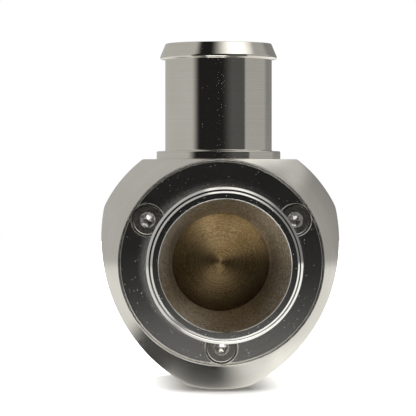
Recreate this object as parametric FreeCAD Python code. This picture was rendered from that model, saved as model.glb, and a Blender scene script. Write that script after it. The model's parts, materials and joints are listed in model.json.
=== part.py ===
import FreeCAD, Part
import math
import os

# Piston type blow-off valve.
# X is to the right, Y runs along the valve axis from the inlet to the rear cap, Z is up.
# Every piece is drawn with the valve axis on the Y axis and the outlet axis on the Z axis.
# The finished pieces are then lifted by bottom_flat_drop, so that the valve stands on z = 0
# with the origin on its bottom flat, straight below the outlet axis.
# All sizes are in millimetres.

V = FreeCAD.Vector
ORIGIN = V(0, 0, 0)
X_AXIS = V(1, 0, 0)
Y_AXIS = V(0, 1, 0)
Z_AXIS = V(0, 0, 1)

# Clearances between pieces
slip_clearance = 0.10
close_clearance = 0.03
running_clearance = 0.04
seal_clearance = 0.02
thread_clearance = 0.03
rest_gap = 0.02

# Guide sleeve: the radii of the whole valve are built up outwards and inwards from its bore
sleeve_bore_r = 14.0
sleeve_wall = 2.0
sleeve_shoulder_height = 2.0
sleeve_shoulder_thickness = 2.0
sleeve_lead_in = 0.5
sleeve_front_to_ring = 1.62

# Piston
piston_crown_thickness = 3.5
piston_length = 34.0
piston_wall = 2.66
piston_edge_chamfer = 0.35
piston_dish_inset = 0.7
piston_dish_depth = 0.5
piston_travel = 10.0
guide_ring_width = 3.0
guide_ring_thickness = 0.8
ring_spacing = 1.8
rear_ring_to_piston_rear = 1.6

# Seals: groove width along or across the face, and groove depth
ring_side_gap = 0.1
seat_seal_inset = 1.6
seat_seal_width = 1.2
seat_seal_depth = 1.2
seat_seal_proud = 0.3
flange_seal_to_bore = 0.35
flange_seal_width = 1.3
flange_seal_depth = 1.0
outlet_seal_to_thread = 0.6
outlet_seal_width = 1.4
outlet_seal_depth = 1.0
sleeve_seal_width = 1.4
sleeve_seal_depth = 0.8
sleeve_seal_to_rear = 6.0
piston_seal_width = 2.2
piston_seal_depth = 1.3
cap_seal_to_shoulder = 1.0
cap_seal_width = 1.7
cap_seal_depth = 1.3

# Socket head cap screws, M4
screw_r = 2.0
screw_head_r = 3.5
screw_head_height = 4.0
screw_socket_across_flats = 3.0
screw_socket_depth = 2.2
screw_head_chamfer = 0.35
screw_tip_chamfer = 0.4
screw_hole_extra_depth = 0.8
screw_hole_clearance = 0.15
counterbore_clearance = 0.2
counterbore_extra_depth = 0.2
upper_screw_angle = 30
socket_turns = {"right": 12, "left": 24, "bottom": 0}
flange_screw_to_seal = 0.4
flange_screw_length = 10.0
cap_screw_inset = 6.4
cap_screw_length = 12.0

# Inlet flange: a disc with the hose spigot turned on it, as wide as the screw heads leave
flange_thickness = 6.0
flange_face_to_outlet = 19.3
flange_edge_chamfer = 0.3
inlet_tube_length = 23.4
inlet_lip = 1.35
seat_lip = 0.7
throat_to_flange_face = 4.4
mouth_chamfer = 0.35
root_fillet = 0.5

# Hose beads: a plain cone on the outlet, a cone and a round shoulder on the inlet
inlet_bead_rise = 1.55
inlet_cone_rise = 0.7
inlet_cone_length = 1.4
outlet_bead_rise = 1.2
bead_length = 3.8
bead_land = 0.7
bead_edge_r = 0.3
lip_inset = 0.1

# Outlet spigot
outlet_bore_r = 11.0
outlet_wall = 2.0
outlet_height = 28.2
outlet_thread_inset = 0.6
outlet_thread_length = 5.0
collar_rim = 0.7
collar_thickness = 2.0
collar_chamfer = 0.25

# Body
rim_land = 0.5
rim_over_flange = 0.3
lobe_over_rim = 6.0
bottom_flat_width = 11.2
side_corner_angle = 25.4
side_arc_r = 40.7
front_taper_length = 9.5
front_taper_rise = 0.6
corner_rounding = 0.7

# Rear cap with its spring seat
cap_thickness = 7.5
cap_chamfer = 2.0
cap_boss_length = 6.0
cap_passage_r = 2.5
bump_stop_to_washer = 0.4
bump_stop_width = 2.1
bump_stop_seat_depth = 0.8
bump_stop_proud = 1.68
bump_stop_gap = 0.3

# Return spring and the washer under its rear end
spring_wire_r = 0.9
spring_to_piston = 0.6
spring_to_boss = 0.5
spring_turns = 7
spring_end_gap = 0.1
spring_join_tolerance = 0.01
spring_washer_rim = 0.5
spring_washer_thickness = 1.0

# Vacuum nipple
nipple_thread_r = 4.0
nipple_floor = 1.5
nipple_bore_r = 1.3
nipple_hex_across_flats = 10.0
nipple_hex_height = 5.0
nipple_tail_r = 2.2
nipple_barb_r = 2.9
nipple_barb_length = 3.4
nipple_barb_land = 0.7
nipple_barb_count = 3
nipple_neck_length = 3.0
nipple_washer_r = 6.0
nipple_washer_thickness = 1.0

# Radii worked out from the sizes above, from the sleeve's bore to the outside
main_bore_r = sleeve_bore_r + sleeve_wall
sleeve_outer_r = main_bore_r - close_clearance
sleeve_shoulder_r = main_bore_r + sleeve_shoulder_height
piston_r = sleeve_bore_r - running_clearance
piston_bore_r = piston_r - piston_wall
seat_seal_r = sleeve_bore_r - seat_seal_inset
inlet_throat_r = seat_seal_r - seat_lip
piston_dish_r = inlet_throat_r - piston_dish_inset
flange_seal_r = main_bore_r + flange_seal_to_bore
screw_hole_r = screw_r + screw_hole_clearance
flange_screw_circle_r = flange_seal_r + flange_seal_width + flange_screw_to_seal + screw_hole_r
counterbore_r = screw_head_r + counterbore_clearance
inlet_tube_r = flange_screw_circle_r - counterbore_r
inlet_mouth_r = inlet_tube_r - inlet_lip
flange_r = flange_screw_circle_r + counterbore_r + flange_edge_chamfer
flange_recess_r = flange_r + slip_clearance
rim_r = flange_recess_r + rim_land
body_lobe_r = rim_r + lobe_over_rim
bottom_flat_drop = body_lobe_r
top_flat_z = flange_recess_r + rim_over_flange
cap_seal_r = sleeve_shoulder_r + cap_seal_to_shoulder
cap_screw_circle_r = body_lobe_r - cap_screw_inset
spring_mean_r = piston_bore_r - spring_to_piston - spring_wire_r
spring_washer_outer_r = spring_mean_r + spring_wire_r + spring_washer_rim
cap_boss_r = spring_mean_r - spring_wire_r - spring_to_boss
bump_stop_r = spring_washer_outer_r + bump_stop_to_washer
outlet_tube_r = outlet_bore_r + outlet_wall
outlet_thread_r = outlet_tube_r - outlet_thread_inset
outlet_seal_r = outlet_thread_r + outlet_seal_to_thread
collar_r = outlet_seal_r + outlet_seal_width + collar_rim

# Places worked out from the sizes above, from the inlet to the rear
flange_face_y = -flange_face_to_outlet
seat_y = flange_face_y + flange_thickness
inlet_mouth_y = flange_face_y - inlet_tube_length
throat_y = flange_face_y - throat_to_flange_face
taper_end_y = flange_face_y + front_taper_length
counterbore_depth = screw_head_height + counterbore_extra_depth
flange_bearing_y = flange_face_y + counterbore_depth
piston_nose_y = seat_y + seat_seal_proud + rest_gap
crown_rear_y = piston_nose_y + piston_crown_thickness
piston_rear_y = piston_nose_y + piston_length
rear_guide_ring_y = piston_rear_y - rear_ring_to_piston_rear - guide_ring_width
piston_seal_y = rear_guide_ring_y - ring_spacing - piston_seal_width
front_guide_ring_y = piston_seal_y - ring_spacing - guide_ring_width
sleeve_front_y = front_guide_ring_y - sleeve_front_to_ring
bump_stop_front_y = piston_rear_y + piston_travel + bump_stop_gap
body_rear_y = bump_stop_front_y + bump_stop_proud
spring_washer_front_y = body_rear_y - spring_washer_thickness
cap_rear_y = body_rear_y + cap_thickness
cap_bearing_y = cap_rear_y - counterbore_depth
nipple_thread_y = body_rear_y + nipple_floor
nipple_hex_y = cap_rear_y + nipple_washer_thickness
outlet_mouth_z = top_flat_z + outlet_height
screw_angles = {"right": upper_screw_angle, "left": 180 - upper_screw_angle, "bottom": 270}


def outline_face(start, *steps):
    """Face in the plane of radius and y. A step is a corner, or an arc's middle and its end."""
    here = V(start[0], start[1], 0)
    first = here
    edges = []
    for step in steps:
        if isinstance(step[0], tuple):
            middle = V(step[0][0], step[0][1], 0)
            end = V(step[1][0], step[1][1], 0)
            edges.append(Part.Arc(here, middle, end).toShape())
        else:
            end = V(step[0], step[1], 0)
            edges.append(Part.makeLine(here, end))
        here = end
    edges.append(Part.makeLine(here, first))
    return Part.Face(Part.Wire(edges))


def turned(start, *steps):
    """Solid made by turning an outline of (radius, y) points about the valve axis."""
    return outline_face(start, *steps).revolve(ORIGIN, Y_AXIS, 360)


def upright(shape):
    """Stands a piece that was turned about the valve axis on the outlet axis."""
    shape.rotate(ORIGIN, X_AXIS, 90)
    return shape


def facing_rear(shape):
    """Turns a piece end for end, so that its front looks to the rear."""
    shape.rotate(ORIGIN, Z_AXIS, 180)
    return shape


def rod(radius, y_from, y_to):
    """Round bar along the valve axis."""
    return Part.makeCylinder(radius, y_to - y_from, V(0, y_from, 0), Y_AXIS)


def tube(inner_r, outer_r, y_from, y_to):
    """Plain ring along the valve axis."""
    return rod(outer_r, y_from, y_to).cut(rod(inner_r, y_from, y_to))


def hexagon_bar(across_flats, y_from, y_to):
    """Hexagonal bar along the valve axis with a corner up and a corner down."""
    corner_r = across_flats / math.sqrt(3)
    corners = []
    for k in range(7):
        angle = math.radians(90 + 60 * k)
        corners.append(V(corner_r * math.cos(angle), y_from, corner_r * math.sin(angle)))
    return Part.Face(Part.makePolygon(corners)).extrude(V(0, y_to - y_from, 0))


def seal_ring(inner_r, outer_r, y_from, y_to):
    """Rubber ring as it lies squeezed in its groove, with its round sides kept as bevels."""
    bevel = 0.3 * min(outer_r - inner_r, y_to - y_from)
    return turned(
        (inner_r, y_from + bevel),
        (inner_r + bevel, y_from),
        (outer_r - bevel, y_from),
        (outer_r, y_from + bevel),
        (outer_r, y_to - bevel),
        (outer_r - bevel, y_to),
        (inner_r + bevel, y_to),
        (inner_r, y_to - bevel),
    )


def on_screw_circle(shape, circle_r, angle):
    """Moves a piece from the valve axis out to a place on a screw circle."""
    turn = math.radians(angle)
    return shape.translated(V(circle_r * math.cos(turn), 0, circle_r * math.sin(turn)))


def screw_pattern(shape, circle_r):
    """The same cutter at each place of a screw circle."""
    return Part.makeCompound([on_screw_circle(shape, circle_r, a) for a in screw_angles.values()])


def cap_screw(length, socket_turn):
    """Socket head cap screw with its head's bearing face at y = 0 and its tip towards +Y."""
    thread_r = screw_r - thread_clearance
    blank = turned(
        (0, -screw_head_height),
        (screw_head_r - screw_head_chamfer, -screw_head_height),
        (screw_head_r, -screw_head_height + screw_head_chamfer),
        (screw_head_r, 0),
        (thread_r, 0),
        (thread_r, length - screw_tip_chamfer),
        (thread_r - screw_tip_chamfer, length),
        (0, length),
    )
    socket_floor = -screw_head_height + screw_socket_depth
    socket = hexagon_bar(screw_socket_across_flats, -screw_head_height, socket_floor)
    socket.rotate(ORIGIN, Y_AXIS, socket_turn)
    return blank.cut(socket)


def bead_back(tube_r, crest_r, crest_end_y):
    """Outline steps from a bead's crest back down to the tube, with the crest's edge rounded."""
    round_off = bead_edge_r * (1 - math.sqrt(0.5))
    return [
        (crest_r, crest_end_y - bead_edge_r),
        ((crest_r - round_off, crest_end_y - round_off), (crest_r - bead_edge_r, crest_end_y)),
        (tube_r, crest_end_y),
    ]


def coned_bead(tube_r, rise, mouth_y):
    """Outline steps of a bead that opens the hose with one cone from the mouth lip to the crest."""
    crest_end_y = mouth_y + bead_length
    return [
        (tube_r - lip_inset, mouth_y),
        (tube_r + rise, crest_end_y - bead_land),
        *bead_back(tube_r, tube_r + rise, crest_end_y),
    ]


def shouldered_bead(tube_r, rise, mouth_y):
    """Outline steps of a bead with a short cone at the lip and a quarter round up to the crest."""
    crest_end_y = mouth_y + bead_length
    nose_r = tube_r + inlet_cone_rise
    shoulder_r = rise - inlet_cone_rise
    crest_start_y = crest_end_y - bead_land
    round_off = shoulder_r * (1 - math.sqrt(0.5))
    return [
        (tube_r - lip_inset, mouth_y),
        (nose_r, mouth_y + inlet_cone_length),
        (nose_r, crest_start_y - shoulder_r),
        ((tube_r + rise - round_off, crest_start_y - shoulder_r + round_off), (tube_r + rise, crest_start_y)),
        *bead_back(tube_r, tube_r + rise, crest_end_y),
    ]


def root_round(tube_r, face_y):
    """Outline steps of the small fillet between a tube and the face it stands on."""
    round_off = root_fillet * (1 - math.sqrt(0.5))
    return [
        (tube_r, face_y - root_fillet),
        ((tube_r + round_off, face_y - round_off), (tube_r + root_fillet, face_y)),
    ]


def inlet_flange():
    """Disc, hose spigot, funnel and valve seat, turned from one piece."""
    blank = turned(
        (inlet_mouth_r + mouth_chamfer, inlet_mouth_y),
        *shouldered_bead(inlet_tube_r, inlet_bead_rise, inlet_mouth_y),
        (inlet_tube_r, flange_face_y),
        (flange_r - flange_edge_chamfer, flange_face_y),
        (flange_r, flange_face_y + flange_edge_chamfer),
        (flange_r, seat_y),
        (inlet_throat_r, seat_y),
        (inlet_throat_r, throat_y),
        (inlet_mouth_r, inlet_mouth_y + mouth_chamfer),
    )
    face_seal_groove = tube(
        flange_seal_r, flange_seal_r + flange_seal_width, seat_y - flange_seal_depth, seat_y
    )
    seat_groove = tube(seat_seal_r, seat_seal_r + seat_seal_width, seat_y - seat_seal_depth, seat_y)
    head_pocket = rod(counterbore_r, flange_face_y, flange_bearing_y)
    shank_hole = rod(screw_hole_r, flange_bearing_y, seat_y)
    screw_hole = head_pocket.fuse(shank_hole)
    return blank.cut([face_seal_groove, seat_groove, screw_pattern(screw_hole, flange_screw_circle_r)])


def lobed_outline(y_from, y_to):
    """Bar with the body's outline: two upper lobes, long bowed sides, a top flat, a bottom flat."""
    def at(x, z):
        return V(x, y_from, z)

    def on_lobe(angle):
        return at(body_lobe_r * math.cos(angle), body_lobe_r * math.sin(angle))

    def mirrored(point):
        return at(-point.x, point.z)

    corner_angle = math.radians(side_corner_angle)
    top_angle = math.asin(top_flat_z / body_lobe_r)
    right_corner = on_lobe(corner_angle)
    right_lobe = on_lobe((corner_angle + top_angle) / 2)
    top_right = on_lobe(top_angle)
    bottom_right = at(bottom_flat_width / 2, -bottom_flat_drop)
    chord = right_corner - bottom_right
    sagitta = side_arc_r - math.sqrt(side_arc_r**2 - chord.Length**2 / 4)
    outward = V(chord.z, 0, -chord.x).normalize()
    right_side = (right_corner + bottom_right) / 2 + outward * sagitta
    wire = Part.Wire([
        Part.Arc(bottom_right, right_side, right_corner).toShape(),
        Part.Arc(right_corner, right_lobe, top_right).toShape(),
        Part.makeLine(top_right, mirrored(top_right)),
        Part.Arc(mirrored(top_right), mirrored(right_lobe), mirrored(right_corner)).toShape(),
        Part.Arc(mirrored(right_corner), mirrored(right_side), mirrored(bottom_right)).toShape(),
        Part.makeLine(mirrored(bottom_right), bottom_right),
    ])
    bar = Part.Face(wire).extrude(V(0, y_to - y_from, 0))
    long_edges = [e for e in bar.Edges if abs(e.Vertexes[0].Y - e.Vertexes[-1].Y) > 0.5 * (y_to - y_from)]
    return bar.makeFillet(corner_rounding, long_edges)


def body():
    """Housing: lobed bar with a turned front, bored for the flange, piston, sleeve and outlet."""
    blank_r = body_lobe_r + corner_rounding
    taper_run = body_lobe_r - rim_r
    slope = math.hypot(taper_run, front_taper_length)
    bulge_middle = (
        (rim_r + body_lobe_r) / 2 + front_taper_rise * front_taper_length / slope,
        (flange_face_y + taper_end_y) / 2 - front_taper_rise * taper_run / slope,
    )
    turned_blank = turned(
        (0, flange_face_y),
        (rim_r, flange_face_y),
        (bulge_middle, (body_lobe_r, taper_end_y)),
        (blank_r, taper_end_y),
        (blank_r, body_rear_y),
        (0, body_rear_y),
    )
    shell = lobed_outline(flange_face_y, body_rear_y).common(turned_blank)
    front_screw_depth = flange_bearing_y + flange_screw_length + screw_hole_extra_depth
    rear_screw_depth = cap_bearing_y - cap_screw_length - screw_hole_extra_depth
    outlet_bore = upright(rod(outlet_bore_r, 0, top_flat_z))
    outlet_port = upright(
        rod(outlet_thread_r + thread_clearance, top_flat_z - outlet_thread_length, top_flat_z)
    )
    return shell.cut([
        rod(flange_recess_r, flange_face_y, seat_y),
        rod(main_bore_r, seat_y, body_rear_y),
        rod(sleeve_shoulder_r + slip_clearance, body_rear_y - sleeve_shoulder_thickness, body_rear_y),
        outlet_bore,
        outlet_port,
        screw_pattern(rod(screw_r, seat_y, front_screw_depth), flange_screw_circle_r),
        screw_pattern(rod(screw_r, rear_screw_depth, body_rear_y), cap_screw_circle_r),
    ])


def outlet_spigot():
    """Hose spigot that screws into the top flat, with a collar that clamps its seal."""
    mouth_y = 0
    foot_y = outlet_height
    collar_y = foot_y - collar_thickness
    blank = turned(
        (outlet_bore_r + mouth_chamfer, mouth_y),
        *coned_bead(outlet_tube_r, outlet_bead_rise, mouth_y),
        *root_round(outlet_tube_r, collar_y),
        (collar_r - collar_chamfer, collar_y),
        (collar_r, collar_y + collar_chamfer),
        (collar_r, foot_y),
        (outlet_thread_r, foot_y),
        (outlet_thread_r, foot_y + outlet_thread_length),
        (outlet_bore_r, foot_y + outlet_thread_length),
        (outlet_bore_r, mouth_y + mouth_chamfer),
    )
    groove = tube(outlet_seal_r, outlet_seal_r + outlet_seal_width, foot_y - outlet_seal_depth, foot_y)
    spigot = blank.cut(groove)
    spigot.rotate(ORIGIN, X_AXIS, -90)
    spigot.translate(V(0, 0, outlet_mouth_z))
    return spigot


def outlet_oring():
    """Face seal under the outlet collar."""
    ring = seal_ring(
        outlet_seal_r + ring_side_gap,
        outlet_seal_r + outlet_seal_width - ring_side_gap,
        top_flat_z + seal_clearance,
        top_flat_z + outlet_seal_depth - seal_clearance,
    )
    return upright(ring)


def flange_oring():
    """Face seal between the inlet flange and the floor of its recess."""
    return seal_ring(
        flange_seal_r + ring_side_gap,
        flange_seal_r + flange_seal_width - ring_side_gap,
        seat_y - flange_seal_depth + seal_clearance,
        seat_y - seal_clearance,
    )


def seat_seal():
    """Rubber ring in the seat that the piston closes on; it stands proud of the seat."""
    return seal_ring(
        seat_seal_r + ring_side_gap,
        seat_seal_r + seat_seal_width - ring_side_gap,
        seat_y - seat_seal_depth + seal_clearance,
        seat_y + seat_seal_proud,
    )


def guide_sleeve():
    """Liner that the piston slides in, held at the rear by its shoulder."""
    shoulder_y = body_rear_y - sleeve_shoulder_thickness
    seal_y = body_rear_y - sleeve_seal_to_rear
    blank = turned(
        (sleeve_bore_r + sleeve_lead_in, sleeve_front_y),
        (sleeve_outer_r - sleeve_lead_in, sleeve_front_y),
        (sleeve_outer_r, sleeve_front_y + sleeve_lead_in),
        (sleeve_outer_r, shoulder_y),
        (sleeve_shoulder_r, shoulder_y),
        (sleeve_shoulder_r, body_rear_y),
        (sleeve_bore_r, body_rear_y),
        (sleeve_bore_r, sleeve_front_y + sleeve_lead_in),
    )
    groove = tube(sleeve_outer_r - sleeve_seal_depth, sleeve_outer_r, seal_y, seal_y + sleeve_seal_width)
    return blank.cut(groove)


def sleeve_oring():
    """Seal in the outside groove of the guide sleeve."""
    seal_y = body_rear_y - sleeve_seal_to_rear
    return seal_ring(
        sleeve_outer_r - sleeve_seal_depth + seal_clearance,
        main_bore_r - seal_clearance,
        seal_y + ring_side_gap,
        seal_y + sleeve_seal_width - ring_side_gap,
    )


def piston():
    """Cup shaped piston: dished nose, thin skirt and three ring grooves."""
    blank = turned(
        (0, piston_nose_y + piston_dish_depth),
        ((piston_dish_r / 2, piston_nose_y + 0.75 * piston_dish_depth), (piston_dish_r, piston_nose_y)),
        (piston_r - piston_edge_chamfer, piston_nose_y),
        (piston_r, piston_nose_y + piston_edge_chamfer),
        (piston_r, piston_rear_y - piston_edge_chamfer),
        (piston_r - piston_edge_chamfer, piston_rear_y),
        (piston_bore_r, piston_rear_y),
        (piston_bore_r, crown_rear_y),
        (0, crown_rear_y),
    )
    grooves = []
    for groove_y, width, depth in ring_places().values():
        grooves.append(tube(piston_r - depth, piston_r, groove_y, groove_y + width))
    return blank.cut(grooves)


def ring_places():
    """Front, width and depth of each groove in the piston."""
    return {
        "front_guide_ring": (front_guide_ring_y, guide_ring_width, guide_ring_thickness),
        "piston_oring": (piston_seal_y, piston_seal_width, piston_seal_depth),
        "rear_guide_ring": (rear_guide_ring_y, guide_ring_width, guide_ring_thickness),
    }


def piston_ring(name):
    """Ring that fills its piston groove and runs in the sleeve."""
    groove_y, width, depth = ring_places()[name]
    return seal_ring(
        piston_r - depth + seal_clearance,
        sleeve_bore_r - seal_clearance,
        groove_y + ring_side_gap,
        groove_y + width - ring_side_gap,
    )


def joined_turns(turns):
    """One solid of turns that meet end to end. Ends that don't quite match join within a tolerance."""
    coil = turns[0].multiFuse(turns[1:])
    if len(coil.Solids) != 1 or not coil.isValid():
        coil = turns[0].multiFuse(turns[1:], spring_join_tolerance)
    return coil.Solids[0]


def return_spring():
    """Compression spring between the piston crown and the washer on the cap, one span per turn."""
    start_y = crown_rear_y + spring_end_gap + spring_wire_r
    end_y = spring_washer_front_y - spring_end_gap - spring_wire_r
    span_count = math.ceil(spring_turns)
    span_height = (end_y - start_y) / span_count
    span_angle = 360 * spring_turns / span_count
    path = Part.makeHelix((end_y - start_y) / spring_turns, span_height, spring_mean_r)
    section = Part.Wire(Part.makeCircle(spring_wire_r, V(spring_mean_r, 0, 0), Y_AXIS))
    span = Part.Wire(path.Edges).makePipeShell([section], True, True)
    spans = []
    for k in range(span_count):
        turned_span = span.rotated(ORIGIN, Z_AXIS, k * span_angle)
        spans.append(turned_span.translated(V(0, 0, k * span_height)))
    coil = joined_turns(spans)
    coil.rotate(ORIGIN, X_AXIS, -90)
    coil.translate(V(0, start_y, 0))
    return coil


def spring_washer():
    """Hard washer that keeps the spring from wearing the cap."""
    return tube(cap_boss_r + slip_clearance, spring_washer_outer_r, spring_washer_front_y, body_rear_y)


def bump_stop():
    """Rubber ring that the piston skirt meets when the valve is fully open."""
    seat_floor_y = body_rear_y + bump_stop_seat_depth
    return seal_ring(
        bump_stop_r + seal_clearance,
        bump_stop_r + bump_stop_width - seal_clearance,
        bump_stop_front_y,
        seat_floor_y - seal_clearance,
    )


def rear_cap():
    """Cover with the spring boss, the vacuum passage, the bump stop's seat and the seal groove."""
    chamfer_start_r = body_lobe_r + corner_rounding
    turned_blank = turned(
        (0, body_rear_y),
        (chamfer_start_r, body_rear_y),
        (chamfer_start_r, cap_rear_y - cap_chamfer - corner_rounding),
        (body_lobe_r - cap_chamfer, cap_rear_y),
        (0, cap_rear_y),
    )
    plate = lobed_outline(body_rear_y, cap_rear_y).common(turned_blank)
    boss = rod(cap_boss_r, body_rear_y - cap_boss_length, body_rear_y)
    head_pocket = rod(counterbore_r, cap_bearing_y, cap_rear_y)
    shank_hole = rod(screw_hole_r, body_rear_y, cap_bearing_y)
    screw_hole = head_pocket.fuse(shank_hole)
    return plate.fuse(boss).cut([
        rod(cap_passage_r, body_rear_y - cap_boss_length, nipple_thread_y),
        rod(nipple_thread_r, nipple_thread_y, cap_rear_y),
        tube(bump_stop_r, bump_stop_r + bump_stop_width, body_rear_y, body_rear_y + bump_stop_seat_depth),
        tube(cap_seal_r, cap_seal_r + cap_seal_width, body_rear_y, body_rear_y + cap_seal_depth),
        screw_pattern(screw_hole, cap_screw_circle_r),
    ])


def cap_oring():
    """Face seal between the rear cap and the body."""
    return seal_ring(
        cap_seal_r + ring_side_gap,
        cap_seal_r + cap_seal_width - ring_side_gap,
        body_rear_y + seal_clearance,
        body_rear_y + cap_seal_depth - seal_clearance,
    )


def vacuum_nipple():
    """Hose nipple with a hexagon, a threaded foot and barbs."""
    hex_end_y = nipple_hex_y + nipple_hex_height
    steps = [
        (nipple_thread_r - thread_clearance, nipple_thread_y),
        (nipple_thread_r - thread_clearance, nipple_hex_y),
        (nipple_hex_across_flats / 2, nipple_hex_y),
        (nipple_hex_across_flats / 2, hex_end_y),
        (nipple_tail_r, hex_end_y),
        (nipple_tail_r, hex_end_y + nipple_neck_length),
    ]
    barb_y = hex_end_y + nipple_neck_length
    for _ in range(nipple_barb_count):
        steps.append((nipple_barb_r, barb_y))
        steps.append((nipple_barb_r, barb_y + nipple_barb_land))
        steps.append((nipple_tail_r, barb_y + nipple_barb_length))
        barb_y += nipple_barb_length
    steps.append((nipple_bore_r, barb_y))
    stem = turned((nipple_bore_r, nipple_thread_y), *steps)
    hexagon = hexagon_bar(nipple_hex_across_flats, nipple_hex_y, hex_end_y)
    return stem.fuse(hexagon.cut(rod(nipple_bore_r, nipple_hex_y, hex_end_y))).removeSplitter()


def nipple_washer():
    """Sealing washer under the nipple's hexagon."""
    return tube(nipple_thread_r + slip_clearance, nipple_washer_r, cap_rear_y, nipple_hex_y)


def screw_nodes():
    """The two sets of three cap screws, by name."""
    nodes = {}
    for side, angle in screw_angles.items():
        front = cap_screw(flange_screw_length, socket_turns[side])
        front.translate(V(0, flange_bearing_y, 0))
        nodes["flange_screw_" + side] = on_screw_circle(front, flange_screw_circle_r, angle)
        rear = facing_rear(cap_screw(cap_screw_length, socket_turns[side]))
        rear.translate(V(0, cap_bearing_y, 0))
        nodes["cap_screw_" + side] = on_screw_circle(rear, cap_screw_circle_r, angle)
    return nodes


def build():
    """Every node of the valve, by name."""
    nodes = {
        "body": body(),
        "inlet_flange": inlet_flange(),
        "flange_oring": flange_oring(),
        "seat_seal": seat_seal(),
        "outlet_spigot": outlet_spigot(),
        "outlet_oring": outlet_oring(),
        "guide_sleeve": guide_sleeve(),
        "sleeve_oring": sleeve_oring(),
        "piston": piston(),
        "front_guide_ring": piston_ring("front_guide_ring"),
        "piston_oring": piston_ring("piston_oring"),
        "rear_guide_ring": piston_ring("rear_guide_ring"),
        "return_spring": return_spring(),
        "spring_washer": spring_washer(),
        "bump_stop": bump_stop(),
        "rear_cap": rear_cap(),
        "cap_oring": cap_oring(),
        "vacuum_nipple": vacuum_nipple(),
        "nipple_washer": nipple_washer(),
    }
    nodes.update(screw_nodes())
    return nodes


os.makedirs("parts", exist_ok=True)
for name, shape in build().items():
    shape.translate(V(0, 0, bottom_flat_drop))
    if not shape.isValid():
        raise ValueError(name + " is not a valid solid")
    shape.exportStep("parts/" + name + ".step")
    print(name, "solids", len(shape.Solids), "volume", round(shape.Volume, 1))
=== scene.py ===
# %% [markdown]
# # A piston blow-off valve, seen into its inlet
#
# The real object is a handful of turned aluminium pieces around a brass piston. Almost every
# visible surface was made on a lathe, so almost every mesh here is an outline of radius and
# length that goes once around an axis. What sells polished metal is not its own colour but
# three other things: small rounds on every edge, which catch a thin bright line, the fine
# rings that the lathe left, and a room around it that is worth reflecting. The lesson takes
# them in that order: shapes, finishes, studio.

# %% Load the fixed frame
import json
import math
import bmesh
import bpy
import numpy as np
from mathutils import Matrix, Vector


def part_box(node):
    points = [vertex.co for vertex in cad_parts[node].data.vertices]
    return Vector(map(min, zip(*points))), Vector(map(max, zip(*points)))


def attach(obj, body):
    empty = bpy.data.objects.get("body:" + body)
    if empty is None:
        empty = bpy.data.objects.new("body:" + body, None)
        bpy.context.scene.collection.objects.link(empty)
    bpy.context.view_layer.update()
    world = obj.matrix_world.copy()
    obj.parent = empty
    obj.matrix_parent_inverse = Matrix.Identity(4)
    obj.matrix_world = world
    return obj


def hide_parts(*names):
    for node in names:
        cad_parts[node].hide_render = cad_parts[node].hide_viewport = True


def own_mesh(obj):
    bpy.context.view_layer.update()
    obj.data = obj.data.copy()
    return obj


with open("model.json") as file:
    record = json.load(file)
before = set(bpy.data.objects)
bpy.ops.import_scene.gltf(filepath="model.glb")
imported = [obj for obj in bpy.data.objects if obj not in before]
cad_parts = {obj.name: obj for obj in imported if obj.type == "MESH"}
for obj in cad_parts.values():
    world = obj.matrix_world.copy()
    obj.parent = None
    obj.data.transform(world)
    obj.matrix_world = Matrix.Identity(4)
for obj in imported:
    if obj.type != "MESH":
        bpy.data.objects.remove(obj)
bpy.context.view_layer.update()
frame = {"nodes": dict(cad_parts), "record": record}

# %% [markdown]
# ## Millimetres on the valve axis
#
# Outlines are easiest to read in millimetres measured from the valve axis, with y running
# along it and y = 0 below the outlet. The frame is in metres and stands on the floor, so one
# scale and one height are all that is needed to go from the one to the other. The piston's
# box is round about the axis, and its middle is the axis height.

# %% Scale, axis height and boxes in millimetres
MM = 0.001
piston_low, piston_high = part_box("piston")
AXIS_HEIGHT = (piston_low.z + piston_high.z) / 2


def box_mm(node):
    """Lowest and highest corner of a CAD node, in millimetres from the valve axis."""
    low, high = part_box(node)
    lift = Vector((0, 0, AXIS_HEIGHT))
    return (low - lift) / MM, (high - lift) / MM


flange_low, flange_high = box_mm("inlet_flange")
body_low, body_high = box_mm("body")
cap_low, cap_high = box_mm("rear_cap")
spigot_low, spigot_high = box_mm("outlet_spigot")
piston_low, piston_high = box_mm("piston")
sleeve_low, sleeve_high = box_mm("guide_sleeve")
nipple_low, _ = box_mm("vacuum_nipple")
washer_low, washer_high = box_mm("nipple_washer")
spring_low, spring_high = box_mm("return_spring")
print("axis height %.2f mm, mouth at y = %.2f mm" % (AXIS_HEIGHT / MM, flange_low.y))

# %% [markdown]
# ## The camera
#
# The photo was taken from a little to the left of the valve and slightly above its axis, with
# a long lens: the funnel's mouth sits up and to the right of its throat by only a few pixels.
# That drift of the round edges with their depth fixes where the camera stood. A long lens
# also keeps the outlet tube's sides parallel.

# %% Camera
PHOTO_SIDE = 416
CAMERA_FROM_OUTLET = Vector((-22.9, -635.0, 19.6))
PIXELS_PER_MM_AT_OUTLET = 4.096
EYE_LINE_PIXEL = (124.7, 180.0)
SENSOR_MM = 36.0

focal_px = PIXELS_PER_MM_AT_OUTLET * -CAMERA_FROM_OUTLET.y
yaw = math.atan((PHOTO_SIDE / 2 - EYE_LINE_PIXEL[0]) / focal_px)
pitch = -math.atan((PHOTO_SIDE / 2 - EYE_LINE_PIXEL[1]) / focal_px)
camera = bpy.data.objects.new("camera", bpy.data.cameras.new("camera"))
camera.data.sensor_width = SENSOR_MM
camera.data.lens = focal_px * SENSOR_MM / PHOTO_SIDE
camera.data.clip_start = 0.01
camera.location = CAMERA_FROM_OUTLET * MM + Vector((0, 0, AXIS_HEIGHT))
camera.rotation_euler = (math.radians(90) + pitch, 0, -yaw)
bpy.context.scene.collection.objects.link(camera)
bpy.context.scene.camera = camera
print("lens %.1f mm, yaw %.2f, pitch %.2f degrees" % (camera.data.lens, math.degrees(yaw), math.degrees(pitch)))

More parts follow.
